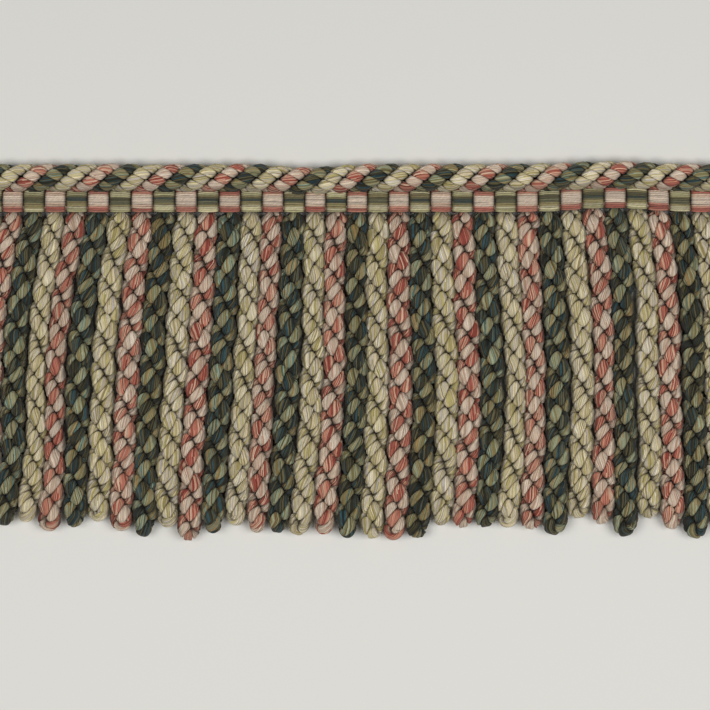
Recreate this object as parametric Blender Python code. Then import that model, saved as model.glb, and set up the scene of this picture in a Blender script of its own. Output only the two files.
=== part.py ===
"""Cut length of bullion fringe, lying flat on its back.

X runs along the trim, Y from the tips of the skirt up to the lip cord, and Z up
from the surface that the trim lies on. The origin is on the heading's flat back,
half way along the trim. Sizes are in metres, written as so many MM.
"""

import math

import bmesh
import bpy
import numpy as np

MM = 0.001
CLEARANCE = 0.3 * MM
WELD_DISTANCE = 0.001 * MM

# The repeat: one cell of the heading carries one bullion
CELL = 5.914 * MM
COLOURS = ("green", "cream", "rose")
REPEATS = 12
BULLIONS = REPEATS * len(COLOURS)
TRIM_LENGTH = BULLIONS * CELL
LEFT_END = -TRIM_LENGTH / 2

# The trim lies straight but for one soft bow towards the cord
BOW_X = 71.5 * MM
BOW_REACH = 11.5 * MM
BOW_RISE = 1.25 * MM

# Heading: a woven band with a channel along its lower edge
HEADING_HALF = 3.04 * MM
HEADING_FRONT = 5.6 * MM
HEADING_ROUNDING = 0.6 * MM
CELL_VALLEY = 0.6 * MM
CELL_SHOULDER = 0.17
CHANNEL_DEPTH = 2.4 * MM
# Points of its outline: shares of the lip's height, and of half the width across the front
CRADLE_SHARES = (0.25, 0.5, 1.0)
FRONT_SHARES = (0.45, -0.35, -1.0)

# Bullion: a cord doubled and twisted, four-sided here, two legs wide and one leg thick
BULLION_RADIUS = 2.85 * MM
BULLION_THICKNESS_ANGLE = math.radians(34)
BULLION_PITCH = 15.4 * MM
STEPS_PER_TURN = 6
BULLION_STAGGER = math.radians(64)
HEAD_GAP = 0.6 * MM
TIP_ROUNDING = (0.86, 0.5)

# Backing strips: one for each colour, stacked in the heading's channel
STRIP_THICK = 0.6 * MM
STRIP_LEVELS = {"green": -1, "cream": 0, "rose": 1}
TAB_WIDTH = 1.5 * MM
TAB_REACH = 1.4 * MM

# Lip cord: three strands laid up left-handed round one axis
CORD_LAY_RADIUS = 2.15 * MM
CORD_STRAND_RADIUS = 1.55 * MM
CORD_PITCH = 17.8 * MM
CORD_STEPS_PER_TURN = 8
CORD_Y = 6.4 * MM
CORD_CREST_X = {"green": -76.7 * MM, "cream": -70.8 * MM, "rose": -64.8 * MM}

# How the skirt lies, in MM, with one row for each repeat of three bullions.
# quarter to tip: how far the repeat drifts aside at those parts of the way down.
# green, cream, rose: how far each bullion hangs below the heading.
# green_aside and the rest: how far each strays from its place half way down.
SKIRT_COLUMNS = (
    "quarter", "half", "three_quarter", "tip",
    "green", "cream", "rose", "green_aside", "cream_aside", "rose_aside",
)
SKIRT_ROWS = (
    (-4.6, -6.5, -7.0, -9.5, 86.0, 87.0, 87.5, 0.0, 0.2, 0.0),
    (-4.0, -6.0, -6.3, -8.9, 86.5, 85.5, 88.0, 0.1, 0.4, -0.7),
    (-3.2, -5.0, -5.7, -6.4, 87.0, 85.5, 88.0, -0.6, 0.0, 0.3),
    (-1.7, -2.9, -4.7, -5.3, 89.5, 87.0, 90.5, 0.0, 0.3, 0.1),
    (-0.5, -1.9, -3.0, -3.9, 88.5, 86.5, 88.5, 0.2, 0.3, -0.5),
    (-0.4, -0.7, -2.0, -4.2, 88.5, 89.0, 89.0, -0.2, 0.3, 0.0),
    (-0.4, 0.1, -0.6, -1.8, 90.0, 90.0, 90.5, 0.2, -0.2, -0.1),
    (0.0, 1.1, 0.8, -0.7, 90.0, 86.5, 87.0, 0.0, 0.1, 0.0),
    (0.6, 2.1, 1.6, 0.0, 87.0, 87.0, 87.5, 0.0, 0.4, -0.5),
    (1.8, 2.9, 2.6, 1.9, 89.0, 84.5, 86.0, -0.3, 0.3, 0.2),
    (2.9, 3.1, 3.9, 3.6, 89.5, 84.5, 87.5, -0.5, 0.3, -0.1),
    (3.2, 4.3, 4.7, 5.7, 90.0, 87.0, 88.0, 0.4, 0.0, 0.0),
)
SKIRT = {name: np.array(column) * MM for name, column in zip(SKIRT_COLUMNS, zip(*SKIRT_ROWS))}
DRIFT_COLUMNS = ("quarter", "half", "three_quarter", "tip")
DRIFT_DEPTHS = np.array((0.0, 22.0, 44.0, 66.0, 88.0)) * MM

BASE_COLOURS = {
    "green": (0.10, 0.12, 0.085),
    "cream": (0.52, 0.49, 0.33),
    "rose": (0.53, 0.27, 0.21),
    "heading": (0.42, 0.37, 0.28),
}
YARN_ROUGHNESS = 0.8


def clear_scene():
    """Remove every object of the open file."""
    for thing in list(bpy.data.objects):
        bpy.data.objects.remove(thing, do_unlink=True)


def make_collection(name):
    """A new collection under the scene's own."""
    collection = bpy.data.collections.new(name)
    bpy.context.scene.collection.children.link(collection)
    return collection


def yarn_material(name, colour):
    """A matt yarn finish of one colour."""
    material = bpy.data.materials.new(name)
    material.use_nodes = True
    shader = material.node_tree.nodes["Principled BSDF"]
    shader.inputs["Base Color"].default_value = (*BASE_COLOURS[colour], 1.0)
    shader.inputs["Roughness"].default_value = YARN_ROUGHNESS
    shader.inputs["Metallic"].default_value = 0.0
    return material


def add_part(name, mesh, colour, collection):
    """Put a mesh in the scene as the named sub-part, in its own material."""
    part = bpy.data.objects.new(name, mesh)
    mesh.materials.clear()
    mesh.materials.append(yarn_material(name + "_yarn", colour))
    collection.objects.link(part)
    return part


def close_mesh(mesh):
    """Weld the loose caps of a mesh and turn its faces out."""
    shell = bmesh.new()
    shell.from_mesh(mesh)
    bmesh.ops.remove_doubles(shell, verts=shell.verts, dist=WELD_DISTANCE)
    bmesh.ops.recalc_face_normals(shell, faces=shell.faces)
    shell.to_mesh(mesh)
    shell.free()


def curve_with_routes(name, routes, cyclic=False):
    """A curve of straight stretches, one spline for each route.

    A route is a dictionary: points is an array of n by 3 places, and radius and
    tilt are arrays of n values that may be left out.
    """
    curve = bpy.data.curves.new(name, "CURVE")
    curve.dimensions = "3D"
    curve.twist_mode = "Z_UP"
    for route in routes:
        points = route["points"]
        spline = curve.splines.new("POLY")
        spline.points.add(len(points) - 1)
        spline.points.foreach_set("co", np.column_stack((points, np.ones(len(points)))).ravel())
        spline.use_cyclic_u = cyclic
        for key in ("radius", "tilt"):
            if key in route:
                spline.points.foreach_set(key, route[key])
    return curve


def mesh_from_curve(curve, name):
    """The closed mesh that a curve makes; the curve itself is removed."""
    carrier = bpy.data.objects.new(name, curve)
    bpy.context.scene.collection.objects.link(carrier)
    evaluated = carrier.evaluated_get(bpy.context.evaluated_depsgraph_get())
    mesh = bpy.data.meshes.new_from_object(evaluated)
    bpy.data.objects.remove(carrier, do_unlink=True)
    bpy.data.curves.remove(curve)
    close_mesh(mesh)
    return mesh


def lie(x):
    """How far the trim is shifted along Y at x: one bell-shaped bow."""
    return BOW_RISE * np.exp(-((x - BOW_X) / BOW_REACH) ** 2)


def smooth_read(stations, values, at):
    """Read a smooth curve through (station, value) pairs at the given places."""
    slopes = np.gradient(values, stations)
    at = np.clip(at, stations[0], stations[-1])
    index = np.clip(np.searchsorted(stations, at) - 1, 0, len(stations) - 2)
    span = stations[index + 1] - stations[index]
    part = (at - stations[index]) / span
    rise = values[index + 1] - values[index]
    start = span * slopes[index]
    end = span * slopes[index + 1]
    ease = part * part * (3 - 2 * part)
    return values[index] + rise * ease + part * (1 - part) * (start * (1 - part) - end * part)


def bullion_colour(number):
    """Colour of a bullion, counted from 0 at the left end."""
    return COLOURS[number % len(COLOURS)]


def bullion_length(number):
    """How far a bullion hangs below the heading."""
    return SKIRT[bullion_colour(number)][number // len(COLOURS)]


def bullion_x(number, depth):
    """Place of a bullion along X at a depth below the heading's lower edge."""
    root = LEFT_END + CELL * (number + 0.5)
    repeat = (number - 1) / len(COLOURS)
    rows = np.arange(REPEATS)
    drifts = [np.interp(repeat, rows, SKIRT[column]) for column in DRIFT_COLUMNS]
    drift = smooth_read(DRIFT_DEPTHS, np.array([0.0] + drifts), depth)
    aside = SKIRT[bullion_colour(number) + "_aside"][number // len(COLOURS)]
    return root + drift + aside * np.sin(math.pi * depth / bullion_length(number))


def bullion_girth(number, depth):
    """Share of its full girth that a bullion has room for beside its neighbours."""
    here = bullion_x(number, depth)
    room = np.full(len(depth), np.inf)
    for neighbour in (number - 1, number + 1):
        if 0 <= neighbour < BULLIONS:
            room = np.minimum(room, np.abs(bullion_x(neighbour, depth) - here))
    return np.minimum(1.0, (room - CLEARANCE) / (2 * BULLION_RADIUS))


def bullion_route(number):
    """Route, girth and twist of one bullion, from its head to its tip."""
    length = bullion_length(number)
    step = BULLION_PITCH / STEPS_PER_TURN
    count = round(length / step)
    depth = np.linspace(0.0, length, count + 1)
    settled = np.maximum(depth - step, 0.0)
    x = bullion_x(number, settled)
    top = HEAD_GAP - lie(x[0])
    y = -HEADING_HALF - top - depth * (length - top) / length
    girth = bullion_girth(number, settled)
    girth[-len(TIP_ROUNDING):] *= TIP_ROUNDING
    z = BULLION_RADIUS * girth
    twist = BULLION_STAGGER * number - 2 * math.pi * depth / BULLION_PITCH
    return {"points": np.column_stack((x, y, z)), "radius": girth, "tilt": twist}


def swept_mesh(half_wide, half_tall, routes):
    """Four-sided bars swept along routes."""
    corners = (
        (half_wide, -half_tall, 0), (half_wide, half_tall, 0),
        (-half_wide, half_tall, 0), (-half_wide, -half_tall, 0),
    )
    section_curve = curve_with_routes("section", [{"points": np.array(corners)}], cyclic=True)
    section = bpy.data.objects.new("section", section_curve)
    bpy.context.scene.collection.objects.link(section)
    curve = curve_with_routes("bars", routes)
    curve.bevel_mode = "OBJECT"
    curve.bevel_object = section
    curve.use_fill_caps = True
    mesh = mesh_from_curve(curve, "bars")
    bpy.data.objects.remove(section, do_unlink=True)
    bpy.data.curves.remove(section_curve)
    return mesh


def numbers_of(colour):
    """The bullions of one colour, from left to right."""
    return [number for number in range(BULLIONS) if bullion_colour(number) == colour]


def strip_mesh(colour):
    """Backing strip of one colour: a flat bar that follows the trim."""
    cell_lines = np.arange(BULLIONS + 1)
    x = LEFT_END + CELL * cell_lines
    near_bow = np.abs(x - BOW_X) < 2 * BOW_REACH
    at_end = cell_lines % BULLIONS == 0
    x = x[near_bow | at_end]
    lower = -HEADING_HALF + CLEARANCE
    upper = -HEADING_HALF + CHANNEL_DEPTH - CLEARANCE
    y = (lower + upper) / 2 + lie(x)
    route = {"points": np.column_stack((x, y, np.full(len(x), strip_level(colour))))}
    return swept_mesh((upper - lower) / 2, STRIP_THICK / 2, [route])


def strip_level(colour):
    """Height of the middle of a colour's strip in the stack."""
    return BULLION_RADIUS + STRIP_LEVELS[colour] * (STRIP_THICK + CLEARANCE)


def tab_mesh(colour):
    """A tab for each bullion of one colour, from its strip into its head."""
    top = -HEADING_HALF + TAB_REACH
    foot = -HEADING_HALF - HEAD_GAP - TAB_REACH
    routes = []
    for number in numbers_of(colour):
        x = LEFT_END + CELL * (number + 0.5)
        ends = [(x, y + lie(x), strip_level(colour)) for y in (top, foot)]
        routes.append({"points": np.array(ends)})
    return swept_mesh(TAB_WIDTH / 2, STRIP_THICK / 2, routes)


def add_guide(name, mesh, guides):
    """Put a mesh in the scene as a guide that only modifiers use."""
    guide = bpy.data.objects.new(name, mesh)
    guide.hide_render = True
    guide.display_type = "WIRE"
    guides.objects.link(guide)
    return guide


def build_skirt(colour, parts, guides):
    """The bullions of one colour, their roots fused into that colour's strip."""
    routes = [bullion_route(number) for number in numbers_of(colour)]
    half_wide = BULLION_RADIUS * math.cos(BULLION_THICKNESS_ANGLE)
    half_thick = BULLION_RADIUS * math.sin(BULLION_THICKNESS_ANGLE)
    bullions = swept_mesh(half_wide, half_thick, routes)
    skirt = add_part("skirt_" + colour, bullions, colour, parts)
    for word, mesh in (("tabs", tab_mesh(colour)), ("strip", strip_mesh(colour))):
        fuse = skirt.modifiers.new("fuse_" + word, "BOOLEAN")
        fuse.operation = "UNION"
        fuse.solver = "EXACT"
        fuse.object = add_guide(word + "_" + colour, mesh, guides)


def heading_section(valley):
    """Outline of the heading as (y, z), its front sunk by `valley`."""
    half = HEADING_HALF
    stack = len(COLOURS) * STRIP_THICK + (len(COLOURS) + 1) * CLEARANCE
    channel_low = BULLION_RADIUS - stack / 2
    channel_high = BULLION_RADIUS + stack / 2
    channel_end = -half + CHANNEL_DEPTH
    cord_radius = CORD_LAY_RADIUS + CORD_STRAND_RADIUS

    def cradle_y(z):
        """Upper edge of the heading, hollowed to clear the cord beside it."""
        reach = math.sqrt((cord_radius + CLEARANCE) ** 2 - (z - cord_radius) ** 2)
        return min(half, CORD_Y - reach)

    def front_z(y):
        """Front of the heading, lower towards both of its edges."""
        return HEADING_FRONT - valley - HEADING_ROUNDING * (y / half) ** 2

    lip_z = HEADING_FRONT - HEADING_ROUNDING - valley
    back = [(-half, 0.0), (half, 0.0)]
    cradle = [(cradle_y(share * lip_z), share * lip_z) for share in CRADLE_SHARES]
    front = [(share * half, front_z(share * half)) for share in FRONT_SHARES]
    channel = [
        (-half, channel_high), (channel_end, channel_high),
        (channel_end, channel_low), (-half, channel_low),
    ]
    return back + cradle + front + channel


def heading_mesh():
    """The heading: two unlike sections lofted in turn along the bowed trim."""
    valley = np.array(heading_section(CELL_VALLEY))
    crown = np.array(heading_section(0.0))
    stations = [(LEFT_END, valley)]
    for cell in range(BULLIONS):
        left = LEFT_END + CELL * cell
        stations.append((left + CELL * CELL_SHOULDER, crown))
        stations.append((left + CELL * (1 - CELL_SHOULDER), crown))
        stations.append((left + CELL, valley))
    rings = [np.column_stack((np.full(len(outline), x), outline[:, 0] + lie(x), outline[:, 1]))
             for x, outline in stations]
    around = len(valley)
    corners = np.arange(around)
    following = np.roll(corners, -1)
    first = np.arange(len(stations) - 1)[:, None] * around
    second = first + around
    walls = np.stack((first + corners, first + following, second + following, second + corners), axis=-1)
    end_cap = corners + around * (len(stations) - 1)
    faces = walls.reshape(-1, 4).tolist() + [corners.tolist(), end_cap.tolist()]
    mesh = bpy.data.meshes.new("heading")
    mesh.from_pydata(np.concatenate(rings).tolist(), [], faces)
    close_mesh(mesh)
    return mesh


def cord_strand_mesh(colour):
    """One strand of the lip cord: a tube along a left-handed helix about X."""
    steps = round(TRIM_LENGTH / CORD_PITCH * CORD_STEPS_PER_TURN)
    x = np.linspace(LEFT_END, -LEFT_END, steps + 1)
    turn = 2 * math.pi * (x - CORD_CREST_X[colour]) / CORD_PITCH
    y = CORD_Y + lie(x) + CORD_LAY_RADIUS * np.cos(turn)
    z = CORD_LAY_RADIUS + CORD_STRAND_RADIUS - CORD_LAY_RADIUS * np.sin(turn)
    curve = curve_with_routes("cord", [{"points": np.column_stack((x, y, z))}])
    curve.bevel_depth = CORD_STRAND_RADIUS
    curve.bevel_resolution = 1
    curve.use_fill_caps = True
    mesh = mesh_from_curve(curve, "cord")
    mesh.shade_smooth()
    return mesh


def main():
    """Build the whole trim."""
    clear_scene()
    parts = make_collection("bullion_fringe")
    guides = make_collection("bullion_fringe_guides")
    add_part("heading", heading_mesh(), "heading", parts)
    for colour in COLOURS:
        build_skirt(colour, parts, guides)
        add_part("lip_cord_" + colour, cord_strand_mesh(colour), colour, parts)


main()
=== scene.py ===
"""Cut length of bullion fringe, lying flat on its back: the looks of its yarns.

Metres, in the frame's own axes: X along the trim, Y from the tips of the skirt up
to the lip cord, Z up from the surface that the trim lies on.
"""

import math

import bpy
import numpy as np
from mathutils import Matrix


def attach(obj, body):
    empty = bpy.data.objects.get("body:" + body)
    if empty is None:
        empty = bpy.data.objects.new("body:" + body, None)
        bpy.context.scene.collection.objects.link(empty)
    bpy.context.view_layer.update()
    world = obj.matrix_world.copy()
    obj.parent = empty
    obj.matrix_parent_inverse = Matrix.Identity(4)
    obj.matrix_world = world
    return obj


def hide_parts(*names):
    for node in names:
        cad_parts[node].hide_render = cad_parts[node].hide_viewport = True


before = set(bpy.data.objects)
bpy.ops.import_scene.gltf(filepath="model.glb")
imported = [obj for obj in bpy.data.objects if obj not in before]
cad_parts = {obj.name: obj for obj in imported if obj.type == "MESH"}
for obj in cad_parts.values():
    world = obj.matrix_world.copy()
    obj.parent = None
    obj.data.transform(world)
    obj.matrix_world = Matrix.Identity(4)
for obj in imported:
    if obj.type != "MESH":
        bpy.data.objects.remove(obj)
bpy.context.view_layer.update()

# Bullions: cords of two plies, doubled on themselves and twisted, so that each ends in
# a folded loop. They are spun from cotton and rayon yarns in three colours and hang
# from the heading, one to a cell, pushed a little aside by their neighbours.

MM = 0.001
COLOURS = ("green", "cream", "rose")
REPEATS = 12
BULLIONS = REPEATS * len(COLOURS)
CELL = 5.914 * MM
LEFT_END = -BULLIONS * CELL / 2
HEADING_HALF = 3.04 * MM
BOW_X = 73.0 * MM
BOW_REACH = 13.5 * MM
BOW_RISE = 1.15 * MM
STRETCH = 0.48 * MM
STRETCH_CREST = -22.4 * MM
STRETCH_WAVE = 112.0 * MM
STRETCH_DEPTH = 22.0 * MM

# Each repeat of three bullions: its drift aside at parts of the way down, how far
# its bullions hang below the heading, and how far each strays half way down, in MM
SKIRT_COLUMNS = (
    "quarter", "half", "three_quarter", "tip",
    "green", "cream", "rose", "green_aside", "cream_aside", "rose_aside",
)
SKIRT_ROWS = (
    (-4.6, -6.5, -7.0, -9.5, 86.0, 87.0, 87.5, 0.0, 0.2, 0.0),
    (-4.0, -6.0, -6.3, -8.9, 86.5, 85.5, 88.0, 0.1, 0.4, -0.7),
    (-3.2, -5.0, -5.7, -6.4, 87.0, 85.5, 88.0, -0.6, 0.0, 0.3),
    (-1.7, -2.9, -4.7, -5.3, 89.5, 87.0, 90.5, 0.0, 0.3, 0.1),
    (-0.5, -1.9, -3.0, -3.9, 88.5, 86.5, 88.5, 0.2, 0.3, -0.5),
    (-0.4, -0.7, -2.0, -4.2, 88.5, 89.0, 89.0, -0.2, 0.3, 0.0),
    (-0.4, 0.1, -0.6, -1.8, 90.0, 90.0, 90.5, 0.2, -0.2, -0.1),
    (0.0, 1.1, 0.8, -0.7, 90.0, 86.5, 87.0, 0.0, 0.1, 0.0),
    (0.6, 2.1, 1.6, 0.0, 87.0, 87.0, 87.5, 0.0, 0.4, -0.5),
    (1.8, 2.9, 2.6, 1.9, 89.0, 84.5, 86.0, -0.3, 0.3, 0.2),
    (2.9, 3.1, 3.9, 3.6, 89.5, 84.5, 87.5, -0.5, 0.3, -0.1),
    (3.2, 4.3, 4.7, 5.7, 90.0, 87.0, 88.0, 0.4, 0.0, 0.0),
)
SKIRT = {name: np.array(column) * MM for name, column in zip(SKIRT_COLUMNS, zip(*SKIRT_ROWS))}
DRIFT_COLUMNS = ("quarter", "half", "three_quarter", "tip")
DRIFT_DEPTHS = np.array((0.0, 22.0, 44.0, 66.0, 88.0)) * MM

PLIES = 2
PLY_TURNS = 4.25
PLY_TURNS_UNEVEN = (0.98, 1.03)
PLY_OFFSET = 0.78 * MM
PLY_HALF_THICK = 1.2 * MM
PLY_GAP = 0.08 * MM
PLY_RING_STEP = 0.36 * MM
LEG_PITCH = 16.0 * MM
LEG_TWIST = 2 * math.pi / LEG_PITCH
LEG_OFFSET = 1.3 * MM
LEG_PRESS = 0.46 * MM
LEG_FLATTENING = 1.1
FOLD_RINGS = 19
BULLION_RADIUS = LEG_OFFSET + PLY_OFFSET + PLY_HALF_THICK
BULLION_NEST = 0.46 * MM
BULLION_SQUEEZE = (0.82, 1.08)
BULLION_STAGGER = math.radians(64)
STAGGER_STRAY = 0.5
BULLION_MIDDLE = 3.45 * MM
BULLION_TOP = -1.6 * MM
TWIST_UNEVEN = (0.3, 0.16)
TWIST_WAVES = (37.0 * MM, 13.0 * MM)
FULLNESS_UNEVEN = 0.07
FULLNESS_WAVE = 11.0 * MM
FULLNESS_PARTS = ((0.6, 1.0), (0.4, 1.7))

# The make of a cord. offset: how far each ply lies from the cord's middle line.
# half_thick, half_wide: the ply's oval. flattening: how much the cord is spread aside.
# inset, back: where its back is cut flat, and how late it is rounded off towards that.
# bump_reach, pinch, groove_shade_tone: how far round a ply shows as one bump, how much
# that is drawn in at its edge, and how dark the painted shade is there. turned: the
# scale of the middle line's direction. around: the points round a ply.
LEG_MAKE = {
    "offset": PLY_OFFSET, "half_thick": PLY_HALF_THICK, "half_wide": 1.9 * MM,
    "flattening": LEG_FLATTENING, "inset": LEG_OFFSET + LEG_PRESS, "back": 2.6 * MM,
    "bump_reach": math.radians(102), "pinch": 0.25, "groove_shade_tone": 0.52,
    "turned": (1.0, 1.0, 1.0), "around": 10,
}
BUMP_EDGE = (0.75, 1.9)
GROOVE_EDGE = (0.88, 1.35)


def lie(x):
    """How far the trim is shifted along Y at x: one bell-shaped bow."""
    return BOW_RISE * np.exp(-((x - BOW_X) / BOW_REACH) ** 2)


def cell_stretch(x):
    """How far a cell of the heading lies along X from its even place: a slow wave."""
    return STRETCH * np.cos(2 * math.pi * (x - STRETCH_CREST) / STRETCH_WAVE)


def smooth_read(stations, values, at):
    """Read a smooth curve through (station, value) pairs: a cubic between each two."""
    slopes = np.gradient(values, stations)
    at = np.clip(at, stations[0], stations[-1])
    index = np.clip(np.searchsorted(stations, at) - 1, 0, len(stations) - 2)
    span = stations[index + 1] - stations[index]
    part = (at - stations[index]) / span
    climb = values[index + 1] - values[index]
    start = span * slopes[index]
    end = span * slopes[index + 1]
    ease = part * part * (3 - 2 * part)
    return values[index] + climb * ease + part * (1 - part) * (start * (1 - part) - end * part)


def bullion_colour(number):
    """Colour of a bullion, counted from 0 at the left end."""
    return COLOURS[number % len(COLOURS)]


def bullion_length(number):
    """How far a bullion hangs below the heading."""
    return SKIRT[bullion_colour(number)][number // len(COLOURS)]


def bullion_x(number, depth):
    """Place of a bullion along X at a depth below the heading's lower edge.

    Its root's place, with the cell's stretch fading out down the depth, plus the drift
    read between the repeats and down the depths, plus half a sine wave aside.
    """
    root = LEFT_END + CELL * (number + 0.5)
    repeat = (number - 1) / len(COLOURS)
    rows = np.arange(REPEATS)
    drifts = [np.interp(repeat, rows, SKIRT[column]) for column in DRIFT_COLUMNS]
    drift = smooth_read(DRIFT_DEPTHS, np.array([0.0] + drifts), depth)
    aside = SKIRT[bullion_colour(number) + "_aside"][number // len(COLOURS)]
    down = np.clip(depth / bullion_length(number), 0.0, 1.0)
    held = np.clip(1 - depth / STRETCH_DEPTH, 0.0, 1.0) ** 2
    return root + cell_stretch(root) * held + drift + aside * np.sin(math.pi * down)


def bullion_squeeze(number, depth):
    """Share of its full width that a bullion has room for beside its neighbours.

    The way to the nearer one over its own width less the nesting, within bounds.
    """
    here = bullion_x(number, depth)
    room = np.full(np.shape(depth), np.inf)
    for neighbour in (number - 1, number + 1):
        if 0 <= neighbour < BULLIONS:
            room = np.minimum(room, np.abs(bullion_x(neighbour, depth) - here))
    return np.clip(room / (2 * (BULLION_RADIUS - BULLION_NEST)), *BULLION_SQUEEZE)


def unit(vectors):
    """Vectors brought to length one."""
    return vectors / np.linalg.norm(vectors, axis=-1, keepdims=True)


def way_along(places):
    """How far along a line each of its places lies: the sum of the steps before it."""
    return np.concatenate(([0.0], np.cumsum(np.linalg.norm(np.diff(places, axis=0), axis=1))))


def rise(value, low, high):
    """A smooth step: 0 up to low, 1 from high, and a cubic between them."""
    part = np.clip((value - low) / (high - low), 0.0, 1.0)
    return part * part * (3 - 2 * part)


def doubled_cord(length, phase, chance):
    """The middle line of a cord doubled on itself and twisted, hanging straight.

    One leg runs down a helix round the Y axis, turns through a half circle at the
    fold, and climbs the opposite helix. Its twist runs a little uneven. Gives its
    places, the directions outwards from the bullion's axis, and the twist that its
    plies have gained so far.
    """
    fold = length - BULLION_RADIUS
    steps = round((fold - BULLION_TOP) / PLY_RING_STEP)
    depth = np.linspace(BULLION_TOP, fold, steps + 1)
    around_fold = np.linspace(0.0, math.pi, FOLD_RINGS + 2)[1:-1]

    def across(angle):
        """Direction across the bullion: X turned towards Z by the angle."""
        return np.stack((np.cos(angle), np.zeros_like(angle), np.sin(angle)), axis=-1)

    uneven = sum(size * np.sin(2 * math.pi * (depth / wave + chance.random()))
                 for size, wave in zip(TWIST_UNEVEN, TWIST_WAVES))
    turn = phase - LEG_TWIST * depth + uneven
    end = across(turn[-1:])
    down = np.array((0.0, -1.0, 0.0))
    fold_out = np.cos(around_fold)[:, None] * end + np.sin(around_fold)[:, None] * down
    outward = np.concatenate((across(turn), fold_out, -across(turn[::-1])))
    all_depths = np.concatenate((depth, np.full(FOLD_RINGS, fold), depth[::-1]))
    places = all_depths[:, None] * down + LEG_OFFSET * outward

    ply_turns = PLY_TURNS * chance.uniform(*PLY_TURNS_UNEVEN)
    ply_rate = ply_turns * LEG_TWIST
    first = ply_rate * depth + chance.uniform(0.0, 2 * math.pi)
    natural = ply_rate * LEG_OFFSET * math.pi
    match = ply_turns * math.pi - 2 * first[-1]
    gained = (match - natural + math.pi) % (2 * math.pi) - math.pi + natural
    over_fold = first[-1] + gained * around_fold / math.pi
    second = first[-1] + gained + ply_rate * (depth - BULLION_TOP)
    return places, outward, np.concatenate((first, over_fold, second))


def ply_section(make):
    """Outline of a ply as (outward, sideways) from the cord's middle line.

    An oval round the offset, cut flat where it meets the other ply. The first point
    comes once more at the end.
    """
    offset = make["offset"]
    half_thick = make["half_thick"]
    meeting = math.acos((PLY_GAP - offset) / half_thick)
    angle = np.linspace(-meeting, meeting, make["around"])
    outline = np.column_stack((offset + half_thick * np.cos(angle), make["half_wide"] * np.sin(angle)))
    return np.vstack((outline, outline[:1]))


def twisted_ply(places, outward, twist, make, chance):
    """Surface of one ply of a cord, on a grid of rings by points round each.

    The ply circles the cord's middle line at the offset, at the angle `twist` from
    the outward direction. Its section is an oval, cut flat where it meets the other
    ply. The whole cord is spread aside by the flattening, rounded off towards its
    back, and cut flat at the inset behind its middle line, as its neighbours press
    it. Two slow waves along it make its fullness uneven. Where it shows as a bump it
    is rounded off, and painted shade darkens it towards its edge: the square of the
    turn from the ply's own crown, over a right angle, plus that of the turn from the
    cord's outward side, over the bump's reach. Its rings stand square to the middle
    line's direction once that is scaled by `turned`. Gives a dictionary for
    tubes_mesh, and the girth.
    """
    travel = way_along(places)
    fullness = 1 + FULLNESS_UNEVEN * sum(
        size * np.sin(2 * math.pi * (rate * travel / FULLNESS_WAVE + chance.random()))
        for size, rate in FULLNESS_PARTS)
    forward = unit(np.gradient(places, axis=0) * make["turned"])
    out = unit(outward - forward * np.sum(outward * forward, axis=-1, keepdims=True))
    aside = np.cross(forward, out)
    outline = ply_section(make)
    own_turn = np.arctan2(outline[:-1, 1], outline[:-1, 0])
    turn = (own_turn[None, :] + twist[:, None] + math.pi) % (2 * math.pi) - math.pi
    edge = (2 * own_turn[None, :] / math.pi) ** 2 + (turn / make["bump_reach"]) ** 2
    fullness = fullness[:, None] * (1 - make["pinch"] * rise(edge, *BUMP_EDGE))
    reach = fullness * outline[None, :-1, 0]
    sideways = fullness * outline[None, :-1, 1]
    cosine = np.cos(twist)[:, None]
    sine = np.sin(twist)[:, None]
    along_out = np.maximum(reach * cosine - sideways * sine, -make["inset"])
    rounding = np.sqrt(1 - (np.minimum(along_out, 0.0) / make["back"]) ** 2)
    along_side = make["flattening"] * (reach * sine + sideways * cosine) * rounding
    surface = (places[:, None]
               + along_out[..., None] * out[:, None]
               + along_side[..., None] * aside[:, None])
    steps = np.linalg.norm(np.diff(outline, axis=0), axis=1)
    share = np.concatenate(([0.0], np.cumsum(steps))) / steps.sum()
    # Painted shade in the groove at a bump's edge, down to groove_shade_tone
    groove = 1 - (1 - make["groove_shade_tone"]) * rise(edge, *GROOVE_EDGE)
    tube = {"surface": surface, "share": share, "travel": travel, "open": groove}
    return tube, steps.sum()


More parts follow.
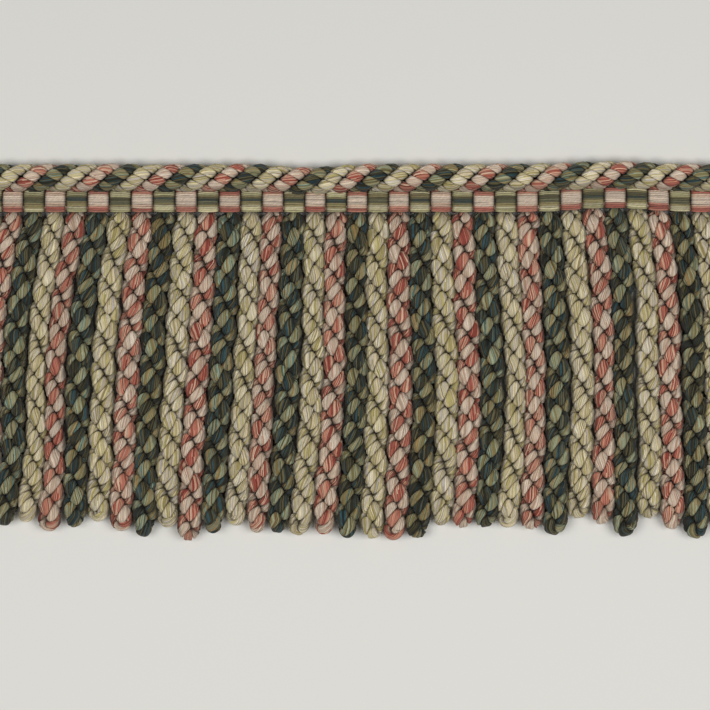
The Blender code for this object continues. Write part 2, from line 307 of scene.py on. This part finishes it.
def tubes_mesh(name, tubes, materials):
    """A mesh of closed tubes, each from a grid of rings by points round each.

    A tube is a dictionary: surface, an array of rings by points by 3; share, the
    share of the way round at each point and once more at the seam; slant, how much
    a yarn turns round per metre of travel; travel, the way along at each ring;
    number, a whole number that tells this tube's yarns from others'; open,
    the painted light and shade, which is 1 on the crowns, near 0 deep in the creases
    where shade is painted, and over 1 where the surface is painted lighter; and
    material, its place in the list. The UV map "yarn" holds the turn and number plus
    travel. A wall's first corner is the one that makes its crease run along the yarns.
    """
    places, openness, corners, starts, material, turns = [], [], [], [], [], []
    vertex_count = 0
    corner_count = 0
    for tube in tubes:
        rings, around = tube["surface"].shape[:2]
        point = np.arange(rings * around).reshape(rings, around) + vertex_count
        following = np.roll(point, -1, axis=1)
        walls = np.stack((following[:-1], following[1:], point[1:], point[:-1]), axis=-1)
        share = tube["share"]
        u_low = share[:-1][None, :]
        u_high = share[1:][None, :]
        lean = (tube["slant"] * tube["travel"])[:, None]
        u_wall = np.stack((u_high + lean[:-1], u_high + lean[1:],
                           u_low + lean[1:], u_low + lean[:-1]), axis=-1)
        v = tube["number"] + tube["travel"]
        v_here = np.broadcast_to(v[:-1][:, None], (rings - 1, around))
        v_next = np.broadcast_to(v[1:][:, None], (rings - 1, around))
        v_wall = np.stack((v_here, v_next, v_next, v_here), axis=-1)
        caps = np.concatenate((point[0, ::-1], point[-1]))
        cap_u = np.concatenate(((share[:-1] + lean[0])[::-1], share[:-1] + lean[-1]))
        cap_v = np.repeat((v[0], v[-1]), around)
        wall_count = (rings - 1) * around
        corners += [walls.ravel(), caps]
        starts += [corner_count + 4 * np.arange(wall_count),
                   corner_count + 4 * wall_count + around * np.arange(2)]
        turns += [np.column_stack((u_wall.ravel(), v_wall.ravel())), np.column_stack((cap_u, cap_v))]
        material.append(np.full(wall_count + 2, tube["material"]))
        places.append(tube["surface"].reshape(-1, 3))
        openness.append(tube["open"].ravel())
        vertex_count += rings * around
        corner_count += 4 * wall_count + 2 * around
    mesh = bpy.data.meshes.new(name)
    mesh.vertices.add(vertex_count)
    mesh.vertices.foreach_set("co", np.concatenate(places).ravel())
    mesh.loops.add(corner_count)
    mesh.loops.foreach_set("vertex_index", np.concatenate(corners).astype(np.int32))
    starts = np.concatenate(starts).astype(np.int32)
    mesh.polygons.add(len(starts))
    mesh.polygons.foreach_set("loop_start", starts)
    mesh.polygons.foreach_set("material_index", np.concatenate(material).astype(np.int32))
    uv = mesh.uv_layers.new(name="yarn")
    uv.data.foreach_set("uv", np.concatenate(turns).astype(np.float32).ravel())
    # The painted light and shade of each point, which the finishes mix into the colour
    mesh.attributes.new("open", "FLOAT", "POINT").data.foreach_set("value", np.concatenate(openness))
    mesh.update(calc_edges=True)
    mesh.validate()
    mesh.shade_smooth()
    for finish in materials:
        mesh.materials.append(finish)
    piece = bpy.data.objects.new(name, mesh)
    bpy.context.scene.collection.objects.link(piece)
    return piece


PLY_YARNS = 42
YARN_ROUGHNESS = 0.62
YARN_GLEAM = 0.25
YARN_SHEEN = 0.08
YARN_SHEEN_ROUGHNESS = 0.4
YARN_TINTS = (0.8, 1.26)
# How light the painted shade in a yarn's grooves leaves it, at least
YARN_GROOVE_SHADES = (0.28, 0.76)
YARN_RELIEF = 0.09 * MM
GROOVE_HEIGHT = 0.55
TONE_RATE = 36.0
TONE_SPACING = 5.7
TONE_SHIFT = 0.9
FIBRES_ACROSS = 2.6
FIBRE_SLANT = 2600.0
FIBRE_RATE = 420.0
FIBRE_DETAIL = 2.0
FIBRE_SPAN = (0.3, 0.7)
FIBRE_SHADES = (0.78, 1.2)
FIBRE_RELIEF = 0.5


def tone(red, green, blue):
    """A colour given as it shows, from 0 to 255, made linear by the sRGB curve."""
    shown = np.array((red, green, blue)) / 255
    return (*np.where(shown < 0.04045, shown / 12.92, ((shown + 0.055) / 1.055) ** 2.4), 1.0)


# Dark brown painted shade, mixed into the yarns' colour deep in the creases
CREASE_SHADE_TONE = tone(29, 21, 15)


def feed(tree, node, values):
    """Feed the first inputs of a node of the tree with sockets or numbers."""
    for socket, value in zip(node.inputs, values):
        if isinstance(value, bpy.types.NodeSocket):
            tree.links.new(value, socket)
        else:
            socket.default_value = value
    return node.outputs[0]


def maths(tree, operation, *values):
    """A Math node fed by up to two sockets or numbers."""
    node = tree.nodes.new("ShaderNodeMath")
    node.operation = operation
    return feed(tree, node, values)


def together(tree, *values):
    """A Combine XYZ node fed by up to three sockets or numbers."""
    return feed(tree, tree.nodes.new("ShaderNodeCombineXYZ"), values)


def spread(tree, value, bounds, low=0.0, high=1.0):
    """A Map Range node that carries low and high over to the two bounds."""
    node = tree.nodes.new("ShaderNodeMapRange")
    return feed(tree, node, (value, low, high, *bounds))


def noise(tree, place, detail):
    """A Noise Texture node read at a place."""
    node = tree.nodes.new("ShaderNodeTexNoise")
    node.inputs["Scale"].default_value = 1.0
    node.inputs["Detail"].default_value = detail
    tree.links.new(place, node.inputs["Vector"])
    return node.outputs["Fac"]


def draw_lots(tree, place):
    """A White Noise node: three random values for the place, from 0 to 1."""
    lots = tree.nodes.new("ShaderNodeTexWhiteNoise")
    lots.noise_dimensions = "2D"
    tree.links.new(place, lots.inputs["Vector"])
    parts = tree.nodes.new("ShaderNodeSeparateXYZ")
    tree.links.new(lots.outputs["Color"], parts.inputs[0])
    return parts.outputs


def dye(tree, tones, pick):
    """A ramp of flat tones, each as wide as its weight, read at pick from 0 to 1."""
    ramp = tree.nodes.new("ShaderNodeValToRGB")
    ramp.color_ramp.interpolation = "CONSTANT"
    stops = ramp.color_ramp.elements
    place = 0.0
    for index, (weight, colour) in enumerate(tones):
        stop = stops[index] if index < 2 else stops.new(place)
        stop.position = place
        stop.color = tone(*colour)
        place += weight
    tree.links.new(pick, ramp.inputs["Fac"])
    return ramp.outputs["Color"]


def yarn_places(tree):
    """The UV map "yarn" taken apart: its turn, and its V."""
    layout = tree.nodes.new("ShaderNodeUVMap")
    layout.uv_map = "yarn"
    parts = tree.nodes.new("ShaderNodeSeparateXYZ")
    tree.links.new(layout.outputs["UV"], parts.inputs[0])
    return parts.outputs["X"], parts.outputs["Y"]


def spun(tree, colour, tint, count, v, relief, groove_shade_low):
    """Give the tree's shader spun yarns, with painted shade in their grooves and creases.

    The height across a yarn is a parabola. Noise drawn out aslant along the yarn
    gives its fibres. The attribute "open" mixes it with a dark brown
    painted shade in the creases, and paints it lighter than its colour where over 1.
    """
    link = tree.links.new
    shader = tree.nodes["Principled BSDF"]
    shader.inputs["Roughness"].default_value = YARN_ROUGHNESS
    shader.inputs["Specular IOR Level"].default_value = YARN_GLEAM
    shader.inputs["Sheen Weight"].default_value = YARN_SHEEN
    shader.inputs["Sheen Roughness"].default_value = YARN_SHEEN_ROUGHNESS
    across = maths(tree, "FRACT", count)
    along = maths(tree, "FRACT", v)
    centred = maths(tree, "SUBTRACT", maths(tree, "MULTIPLY", across, 2.0), 1.0)
    round_off = maths(tree, "SUBTRACT", 1.0, maths(tree, "MULTIPLY", centred, centred))
    fibre = maths(tree, "ADD", maths(tree, "MULTIPLY", count, FIBRES_ACROSS),
                  maths(tree, "MULTIPLY", along, FIBRE_SLANT))
    place = together(tree, fibre, maths(tree, "MULTIPLY", along, FIBRE_RATE), maths(tree, "FLOOR", v))
    fibres = noise(tree, place, FIBRE_DETAIL)
    # Painted shade: each yarn darker towards its edges, in the grooves between yarns
    groove = maths(tree, "MAXIMUM", spread(tree, round_off, (0.0, 1.0), 0.0, GROOVE_HEIGHT), groove_shade_low)
    shade = maths(tree, "MULTIPLY", spread(tree, fibres, FIBRE_SHADES, *FIBRE_SPAN), groove)
    # Painted light and shade from the attribute: the painted crease shade where it is low, lighter than
    # the yarn where it is over 1
    crease = tree.nodes.new("ShaderNodeAttribute")
    crease.attribute_name = "open"
    scale = tree.nodes.new("ShaderNodeVectorMath")
    scale.operation = "SCALE"
    link(colour, scale.inputs[0])
    link(maths(tree, "MULTIPLY", shade, tint), scale.inputs["Scale"])
    lit = tree.nodes.new("ShaderNodeMix")
    lit.data_type = "RGBA"
    lit.clamp_factor = False
    lit.inputs[6].default_value = CREASE_SHADE_TONE
    link(crease.outputs["Fac"], lit.inputs[0])
    link(scale.outputs[0], lit.inputs[7])
    link(lit.outputs[2], shader.inputs["Base Color"])
    bump = tree.nodes.new("ShaderNodeBump")
    bump.inputs["Strength"].default_value = 1.0
    bump.inputs["Distance"].default_value = relief
    link(maths(tree, "ADD", round_off, maths(tree, "MULTIPLY", fibres, FIBRE_RELIEF)),
         bump.inputs["Height"])
    link(bump.outputs["Normal"], shader.inputs["Normal"])


def yarn_finish(name, tones):
    """Dyed yarns lying side by side along a ply.

    Each yarn draws its own tone, brightness and depth of painted groove shade; a slow
    noise along it moves its tone on, as yarns dive and come up again.
    """
    material = bpy.data.materials.new(name)
    material.use_nodes = True
    tree = material.node_tree
    turn, v = yarn_places(tree)
    count = maths(tree, "MULTIPLY", turn, float(PLY_YARNS))
    own = maths(tree, "FLOORED_MODULO", maths(tree, "FLOOR", count), float(PLY_YARNS))
    tube_number = maths(tree, "FLOOR", v)
    lots = draw_lots(tree, together(tree, own, tube_number))
    slow = maths(tree, "MULTIPLY", maths(tree, "FRACT", v), TONE_RATE)
    shift_place = together(tree, maths(tree, "MULTIPLY", own, TONE_SPACING), slow, tube_number)
    shift = maths(tree, "MULTIPLY", noise(tree, shift_place, 0.0), TONE_SHIFT)
    pick = maths(tree, "FRACT", maths(tree, "ADD", lots[0], shift))
    tint = spread(tree, lots[1], YARN_TINTS)
    groove_shade_low = spread(tree, lots[2], YARN_GROOVE_SHADES)
    spun(tree, dye(tree, tones, pick), tint, count, v, YARN_RELIEF, groove_shade_low)
    return material


# Each ply's yarns, as (share of the yarns, tone)
PLY_TONES = {
    "green_light": ((0.3, (164, 159, 123)), (0.22, (133, 124, 81)), (0.14, (166, 136, 86)),
                    (0.14, (163, 176, 147)), (0.08, (99, 131, 125)), (0.12, (92, 85, 60))),
    "green_dark": ((0.32, (42, 43, 31)), (0.24, (68, 64, 45)), (0.16, (54, 87, 94)),
                   (0.1, (36, 57, 63)), (0.18, (108, 99, 66))),
    "cream_light": ((0.4, (236, 222, 186)), (0.26, (212, 198, 138)), (0.14, (216, 206, 196)),
                    (0.1, (176, 160, 108)), (0.1, (246, 236, 208))),
    "cream_dark": ((0.38, (226, 210, 174)), (0.28, (200, 186, 124)), (0.16, (208, 198, 188)),
                   (0.18, (168, 154, 102))),
    "rose_light": ((0.4, (229, 206, 182)), (0.3, (210, 184, 159)), (0.18, (240, 223, 202)),
                   (0.12, (197, 157, 134))),
    "rose_dark": ((0.26, (163, 80, 66)), (0.24, (194, 118, 98)), (0.22, (215, 150, 123)),
                  (0.08, (141, 64, 54)), (0.2, (227, 192, 163))),
}
PLY_FINISH = {name: yarn_finish("yarn_" + name, tones) for name, tones in PLY_TONES.items()}


def ply_finishes(colour):
    """The finishes of a cord's light and dark ply."""
    return [PLY_FINISH[colour + "_light"], PLY_FINISH[colour + "_dark"]]


SWAY = 0.2 * MM
SWAY_WAVE = 21.0 * MM
BOUND_DEPTH = 3.6 * MM
BOUND_POWER = 1.5
BOUND_DROP = 0.6 * MM
BOUND_NARROWING = 0.14
BOUND_FLATTENING = 0.5
HEAD_DEPTH = 2.2 * MM
HEAD_POWER = 2
HEAD_NARROWING = 0.36
TIP_REACH = 7.0 * MM
TIP_NARROWING = 0.14


def lay_bullion(number, straight, sway_start):
    """Carry a straight bullion's surface along its place in the skirt.

    Its X is narrowed to the room there is, sways a little and is shifted aside with
    the depth. It is narrowed more where the warps bind it and at its rounded head,
    which both fade out as a power of what is left of their depth, and at its tip, by
    a smooth step. Its height sinks and shrinks where the warps bind it.
    """
    depth = -straight[..., 1]
    settled = np.clip(depth, 0.0, None)
    bound = np.clip(1 - depth / BOUND_DEPTH, 0.0, 1.0) ** BOUND_POWER
    head = np.clip(1 - depth / HEAD_DEPTH, 0.0, 1.0) ** HEAD_POWER
    tip = rise(depth, bullion_length(number) - TIP_REACH, bullion_length(number))
    sway = SWAY * np.sin(2 * math.pi * (settled / SWAY_WAVE + sway_start)) * (1 - bound)
    narrowed = bullion_squeeze(number, settled) * (
        1 - BOUND_NARROWING * bound - TIP_NARROWING * tip - HEAD_NARROWING * head)
    x = bullion_x(number, settled) + sway + straight[..., 0] * narrowed
    y = -HEADING_HALF - depth + lie(x) * np.clip(1 - depth / bullion_length(number), 0.0, 1.0)
    z = BULLION_MIDDLE - BOUND_DROP * bound + straight[..., 2] * (1 - BOUND_FLATTENING * bound)
    return np.stack((x, y, z), axis=-1)


# Painted shade on the bullions: in the notches, in the furrows between them, and a painted shadow under
# the heading's edge
NOTCH = (0.12, 0.62)
FURROW = (0.68, 0.9)
FURROW_SHADE_TONE = 0.25
UNDER_EDGE = (-1.0 * MM, 0.3 * MM)
UNDER_EDGE_SHADE = 0.55


def shade_bullion(number, straight, crowns):
    """How much painted light a straight bullion's places get, from that of its bumps.

    Painted shade darkens it near its axis, in the notches between the bumps; at its
    sides, in the furrows between the bullions; and under the heading's edge, as a
    painted shadow. Each is a smooth step.
    """
    past_fold = np.clip(-straight[..., 1] - (bullion_length(number) - BULLION_RADIUS), 0.0, None)
    from_axis = np.sqrt(straight[..., 0] ** 2 + straight[..., 2] ** 2 + past_fold ** 2)
    notch = rise(from_axis / BULLION_RADIUS, *NOTCH)
    from_side = np.abs(straight[..., 0]) / BULLION_RADIUS
    furrow = 1 - (1 - FURROW_SHADE_TONE) * rise(from_side, *FURROW)
    under_edge = 1.0 - UNDER_EDGE_SHADE * rise(straight[..., 1], *UNDER_EDGE)
    return crowns * notch * furrow * under_edge


# How far aside a ply's crown runs as the legs turn, and the share of it that the
# slant of the yarns takes back, so that they lie nearly straight down the bullion
PLY_SWING = PLY_TURNS * (PLY_OFFSET + PLY_HALF_THICK) - BULLION_RADIUS / LEG_FLATTENING
YARN_LAY = 0.85

for number in range(BULLIONS):
    colour = bullion_colour(number)
    chance = np.random.default_rng(number)
    phase = BULLION_STAGGER * number + chance.uniform(-STAGGER_STRAY, STAGGER_STRAY)
    sway_start = chance.random()
    places, outward, twist = doubled_cord(bullion_length(number), phase, chance)
    tubes = []
    for ply in range(PLIES):
        tube, girth = twisted_ply(places, outward, twist + math.pi * ply, LEG_MAKE, chance)
        straight = tube["surface"]
        tube.update(surface=lay_bullion(number, straight, sway_start),
                    open=shade_bullion(number, straight, tube["open"]),
                    slant=YARN_LAY * LEG_TWIST * PLY_SWING / girth, number=number, material=ply)
        tubes.append(tube)
    bullion = tubes_mesh(f"bullion_{number + 1:02d}_{colour}", tubes, ply_finishes(colour))
    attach(bullion, "root")
    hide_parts("skirt_" + colour)

# Backing runs: the runs of each colour's own cord from bullion to bullion, pressed flat
# between the heading's front and back warps. They show only at the trim's cut ends.

RUN_Y = -1.84 * MM
RUN_LEVELS = {"green": 1.95 * MM, "cream": 2.85 * MM, "rose": 3.75 * MM}
RUN_PITCH = 10.0 * MM
RUN_RING_STEP = 1.4 * MM
RUN_NUMBER = 60
RUN_MAKE = {
    **LEG_MAKE, "offset": 0.35 * MM, "half_thick": 0.52 * MM, "half_wide": 0.82 * MM,
    "flattening": 0.34, "inset": 1.0 * MM, "back": 4.0 * MM, "around": 8,
}


def along_trim(step):
    """Places along X from one cut end to the other, about a step apart."""
    return np.linspace(LEFT_END, -LEFT_END, round(-2 * LEFT_END / step) + 1)


for colour in COLOURS:
    x = along_trim(RUN_RING_STEP)
    places = np.column_stack((x, RUN_Y + lie(x), np.full_like(x, RUN_LEVELS[colour])))
    outward = np.tile((0.0, 1.0, 0.0), (len(x), 1))
    twist = 2 * math.pi / RUN_PITCH * x
    chance = np.random.default_rng(COLOURS.index(colour) + 2 * BULLIONS)
    tubes = []
    for ply in range(PLIES):
        tube, girth = twisted_ply(places, outward, twist + math.pi * ply, RUN_MAKE, chance)
        tube.update(slant=0.0, number=RUN_NUMBER + ply, material=ply)
        tubes.append(tube)
    run = tubes_mesh("backing_run_" + colour, tubes, ply_finishes(colour))
    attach(run, "root")
    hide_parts("skirt_" + colour)

# Heading: a narrow woven band. Two sets of twelve cotton warps pass by turns over and
# under the heads of the bullions, one set in front in each cell, and bind them there.

HEADING_ROWS = 12
HEADING_FRONT = 5.6 * MM
HEADING_ROUNDING = 0.6 * MM
LIP_DROP = 2.0 * MM
LIP_POWER = 8
CELL_BULGE = 0.25 * MM
CELL_CORNER = 0.06
CELL_CORNER_POWER = 6
CELL_LEVEL = 0.7
CELL_STATIONS = np.array((0.0, 0.035, 0.07, 0.11, 0.17, 0.3, 0.5, 0.7, 0.83, 0.89, 0.93, 0.965))
ROW_PITCH = 2 * HEADING_HALF / HEADING_ROWS
WARP_HALF_WIDE = 0.63 * ROW_PITCH
WARP_HALF_THICK = 0.3 * MM
WARP_WIDTHS = (0.92, 1.08)
WARP_DIVE = 4.2
WARP_AROUND = 6
WARP_STRAY = 0.04 * MM
# Painted shade where the warps dive between the cells: how light it leaves them, and where it fades
SLOT_SHADE_TONE = 0.08
SLOT_EDGE = (0.5, 0.98)


def warp_tube(row, side, chance):
    """One warp of the heading: side is 1 for the set in front in the first cell.

    Its height swings between the front and the back of the heading: the hyperbolic
    tangent of a sine wave of two cells, which is flat in a cell and steep at its
    edge. The rows draw together at a cell's ends, each cell lies level in the bow,
    and each warp strays a little from its row and height. The front sinks with the
    square of the way from the middle, drops at the lip, and sags at a cell's ends.
    """
    cells = np.append((np.arange(BULLIONS)[:, None] + CELL_STATIONS[None, :]).ravel(), BULLIONS)
    even = LEFT_END + CELL * cells
    x = even + cell_stretch(even)
    wave = side * np.tanh(WARP_DIVE * np.sin(math.pi * cells))
    knots = np.arange(2 * BULLIONS + 1) / 2
    stray = np.interp(cells, knots, chance.normal(0.0, WARP_STRAY, len(knots)))
    sag = np.interp(cells, knots, chance.normal(0.0, WARP_STRAY, len(knots)))
    level = LEFT_END + CELL * (cells + CELL_LEVEL * np.sin(2 * math.pi * cells) / (2 * math.pi))
    flat_y = -HEADING_HALF + ROW_PITCH * (row + 0.5)
    y = flat_y * (1 - CELL_CORNER * np.cos(math.pi * cells) ** CELL_CORNER_POWER) + stray + lie(level)
    share_up = flat_y / HEADING_HALF
    front = HEADING_FRONT - WARP_HALF_THICK - HEADING_ROUNDING * share_up ** 2
    front = front - LIP_DROP * max(share_up, 0.0) ** LIP_POWER
    front = front - CELL_BULGE * np.cos(math.pi * cells) ** 2 + sag
    back = WARP_HALF_THICK
    z = (front + back) / 2 + wave * (front - back) / 2
    places = np.column_stack((x, y, z))
    forward = unit(np.gradient(places, axis=0))
    across = unit(np.cross((0.0, 0.0, 1.0), forward))
    up = np.cross(forward, across)
    angle = np.linspace(0.0, 2 * math.pi, WARP_AROUND + 1)
    half_wide = WARP_HALF_WIDE * chance.uniform(*WARP_WIDTHS)
    surface = (places[:, None]
               + half_wide * np.cos(angle)[None, :-1, None] * across[:, None]
               + WARP_HALF_THICK * np.sin(angle)[None, :-1, None] * up[:, None])
    # Painted shade where the warp dives between the cells
    out_of_slot = SLOT_SHADE_TONE + (1 - SLOT_SHADE_TONE) * rise(np.abs(wave), *SLOT_EDGE)
    return {"surface": surface, "share": angle / (2 * math.pi), "slant": 0.0,
            "travel": way_along(places), "number": row, "material": 0,
            "open": np.broadcast_to(out_of_slot[:, None], surface.shape[:2])}


WARP_YARNS = 2.0
WARP_TINTS = (0.82, 1.2)
# How light the painted shade in a warp's grooves leaves it, at least
WARP_GROOVE_SHADES = (0.4, 0.85)
WARP_RELIEF = 0.07 * MM
CELL_SHIFTS = (-0.6, 0.6)
WARP_SHIFTS = (-0.5, 0.5)
BETWEEN_ROWS = 0.5


def warp_finish(name, tones):
    """Warps dyed row by row: the whole part of V is the row.

    The stripes lie up to about half a row higher or lower from cell to cell, and each
    warp draws its own shift, brightness and depth of painted groove shade for each cell.
    """
    material = bpy.data.materials.new(name)
    material.use_nodes = True
    tree = material.node_tree
    turn, v = yarn_places(tree)
    row = maths(tree, "FLOOR", v)
    place = tree.nodes.new("ShaderNodeTexCoord")
    parts = tree.nodes.new("ShaderNodeSeparateXYZ")
    tree.links.new(place.outputs["Object"], parts.inputs[0])
    from_left = maths(tree, "SUBTRACT", parts.outputs["X"], LEFT_END)
    cell = maths(tree, "FLOOR", maths(tree, "DIVIDE", from_left, CELL))
    cell_lots = draw_lots(tree, together(tree, cell, BETWEEN_ROWS))
    warp_lots = draw_lots(tree, together(tree, cell, row))
    shift = maths(tree, "ADD", spread(tree, cell_lots[0], CELL_SHIFTS),
                  spread(tree, warp_lots[0], WARP_SHIFTS))
    shifted = maths(tree, "ADD", maths(tree, "ADD", row, 0.5), shift)
    pick = maths(tree, "DIVIDE", shifted, float(HEADING_ROWS))
    tint = spread(tree, warp_lots[1], WARP_TINTS)
    groove_shade_low = spread(tree, warp_lots[2], WARP_GROOVE_SHADES)
    count = maths(tree, "MULTIPLY", turn, WARP_YARNS)
    weighted = [(1 / HEADING_ROWS, colour) for colour in tones]
    spun(tree, dye(tree, weighted, pick), tint, count, v, WARP_RELIEF, groove_shade_low)
    return material


WARP_DYES = {
    "brick": (163, 96, 82), "rose": (170, 114, 96), "blush": (182, 126, 108), "fawn": (197, 170, 148),
    "beige": (203, 185, 166), "cream": (190, 182, 144), "oat": (176, 168, 138), "sage": (161, 155, 117),
    "olive": (140, 129, 91), "bronze": (122, 112, 80), "moss": (104, 102, 78), "bark": (88, 84, 62),
    "teal": (62, 70, 64),
}
# The dye of each warp of a set, from the skirt's side up to the cord's
WARPING_PLAN = {
    "rose": ("rose", "brick", "blush", "fawn", "beige", "beige",
             "beige", "beige", "beige", "fawn", "rose", "brick"),
    "green": ("sage", "cream", "oat", "olive", "olive", "moss",
              "teal", "bark", "bronze", "sage", "cream", "cream"),
}

for word, side in (("rose", 1), ("green", -1)):
    finish = warp_finish("warps_" + word, [WARP_DYES[dye_name] for dye_name in WARPING_PLAN[word]])
    chance = np.random.default_rng(3 * BULLIONS + side)
    tubes = [warp_tube(row, side, chance) for row in range(HEADING_ROWS)]
    warps = tubes_mesh("heading_warps_" + word, tubes, [finish])
    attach(warps, "root")
    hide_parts("heading")

# Lip cord: three strands of two-ply cord, spun from the bullions' own yarns, laid up
# left-handed and sewn along the heading's upper edge.

CORD_LAY_RADIUS = 2.05 * MM
CORD_STRETCH = (1.0, 1.1, 0.9)
CORD_PITCH = 17.8 * MM
CORD_Y = 6.35 * MM
CORD_MIDDLE = 3.9 * MM
CORD_BOW = 0.7
CORD_SAG_X = -10.5 * MM
CORD_SAG_REACH = 9.0 * MM
CORD_SAG = 0.95 * MM
CORD_CREST_X = {"green": -76.7 * MM, "cream": -70.8 * MM, "rose": -64.8 * MM}
CORD_PLY_TURNS = 4.9
CORD_RING_STEP = 0.28 * MM
CORD_YARN_SLANT = 0.18 / MM
CORD_NUMBER = 50
CORD_MAKE = {
    "offset": 0.56 * MM, "half_thick": 1.16 * MM, "half_wide": 1.56 * MM,
    "flattening": 1.14, "inset": CORD_LAY_RADIUS, "back": 2.4 * MM,
    "bump_reach": math.radians(128), "pinch": 0.1, "groove_shade_tone": 0.68,
    "turned": (1.6, 1.0, 1.0), "around": 10,
}
CORD_RADIUS = CORD_LAY_RADIUS + CORD_MAKE["offset"] + CORD_MAKE["half_thick"]
# Painted light and shade on the lip cord: shade in the notches, its upper side painted lighter than the
# yarns, its sewn side painted darker
CORD_NOTCH = (0.54, 0.88)
CORD_PAINTED_LIGHT = 1.18
SEWN_SHADE = 0.56
SEWN_EDGE = (0.2, 0.95)


def shade_cord(surface, axis_line, crowns):
    """How much painted light a strand's places get, from that of its bumps.

    Painted shade darkens it near the cord's axis, in the notches between the strands,
    and low at the side that is sewn to the heading; elsewhere it is painted lighter
    than the yarns' own colour. The notches and the sewn side each come in by a smooth step.
    """
    from_axis = np.linalg.norm(surface[..., 1:] - axis_line[:, None, 1:], axis=-1)
    notch = rise(from_axis / CORD_RADIUS, *CORD_NOTCH)
    below = (axis_line[:, None, 1] - surface[..., 1]) / CORD_RADIUS
    sewn = CORD_PAINTED_LIGHT - SEWN_SHADE * rise(below, *SEWN_EDGE)
    return crowns * notch * sewn


for colour in COLOURS:
    x = along_trim(CORD_RING_STEP)
    turn = 2 * math.pi * (x - CORD_CREST_X[colour]) / CORD_PITCH
    outward = np.column_stack((np.zeros_like(x), np.cos(turn), -np.sin(turn)))
    sag = CORD_SAG * np.exp(-((x - CORD_SAG_X) / CORD_SAG_REACH) ** 2)
    axis_line = np.column_stack((x, CORD_Y - sag + CORD_BOW * lie(x), np.full_like(x, CORD_MIDDLE)))
    places = axis_line + CORD_LAY_RADIUS * outward * CORD_STRETCH
    chance = np.random.default_rng(COLOURS.index(colour) + BULLIONS)
    tubes = []
    for ply in range(PLIES):
        tube, girth = twisted_ply(
            places, outward, CORD_PLY_TURNS * turn + math.pi * ply, CORD_MAKE, chance)
        tube.update(open=shade_cord(tube["surface"], axis_line, tube["open"]),
                    slant=CORD_YARN_SLANT, number=CORD_NUMBER + ply, material=ply)
        tubes.append(tube)
    strand = tubes_mesh("lip_cord_strand_" + colour, tubes, ply_finishes(colour))
    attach(strand, "root")
    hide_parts("lip_cord_" + colour)

# The plain pale surface under the trim, soft light from a lamp on each side, and the
# camera looking straight down on it through a long lens.

FLOOR_REACH = 3.0
FLOOR_CORNERS = ((-1, -1), (1, -1), (1, 1), (-1, 1))
FLOOR_TONE = tone(228, 227, 221)
FLOOR_ROUGHNESS = 0.9

floor_mesh = bpy.data.meshes.new("floor")
floor_corners = [(FLOOR_REACH * x, FLOOR_REACH * y, 0.0) for x, y in FLOOR_CORNERS]
floor_mesh.from_pydata(floor_corners, [], [(0, 1, 2, 3)])
floor = bpy.data.objects.new("floor", floor_mesh)
bpy.context.scene.collection.objects.link(floor)
floor_paint = bpy.data.materials.new("floor_paint")
floor_paint.use_nodes = True
floor_shader = floor_paint.node_tree.nodes["Principled BSDF"]
floor_shader.inputs["Base Color"].default_value = FLOOR_TONE
floor_shader.inputs["Roughness"].default_value = FLOOR_ROUGHNESS
floor_mesh.materials.append(floor_paint)

LAMP_SIZE = 0.5
LAMP_AWAY = 0.45
LAMP_HEIGHT = 0.85
LAMP_Y = -0.16
LAMP_POWER = {-1: 4.1, 1: 4.8}
for side in (-1, 1):
    lamp_data = bpy.data.lights.new("side_lamp", "AREA")
    lamp_data.shape = "SQUARE"
    lamp_data.size = LAMP_SIZE
    lamp_data.energy = LAMP_POWER[side]
    lamp = bpy.data.objects.new("side_lamp", lamp_data)
    lamp.location = (side * LAMP_AWAY, LAMP_Y, LAMP_HEIGHT)
    lamp.rotation_euler = (0.0, side * math.atan2(LAMP_AWAY, LAMP_HEIGHT), 0.0)
    bpy.context.scene.collection.objects.link(lamp)

ROOM_TONE = (1.0, 0.99, 0.97, 1.0)
ROOM_LIGHT = 0.12
room = bpy.data.worlds.new("room")
bpy.context.scene.world = room
room.use_nodes = True
room_shader = room.node_tree.nodes["Background"]
room_shader.inputs["Color"].default_value = ROOM_TONE
room_shader.inputs["Strength"].default_value = ROOM_LIGHT

FRAME_WIDTH = 196.0 * MM
VIEW_CENTRE = (2.43 * MM, -42.45 * MM)
FOCUS_HEIGHT = 4.0 * MM
LENS = 150.0
SENSOR = 36.0
camera_data = bpy.data.cameras.new("camera")
camera_data.lens = LENS
camera_data.sensor_width = SENSOR
camera = bpy.data.objects.new("camera", camera_data)
camera.location = (*VIEW_CENTRE, FOCUS_HEIGHT + FRAME_WIDTH * LENS / SENSOR)
bpy.context.scene.collection.objects.link(camera)
bpy.context.scene.camera = camera
bpy.context.scene.view_settings.view_transform = "Standard"
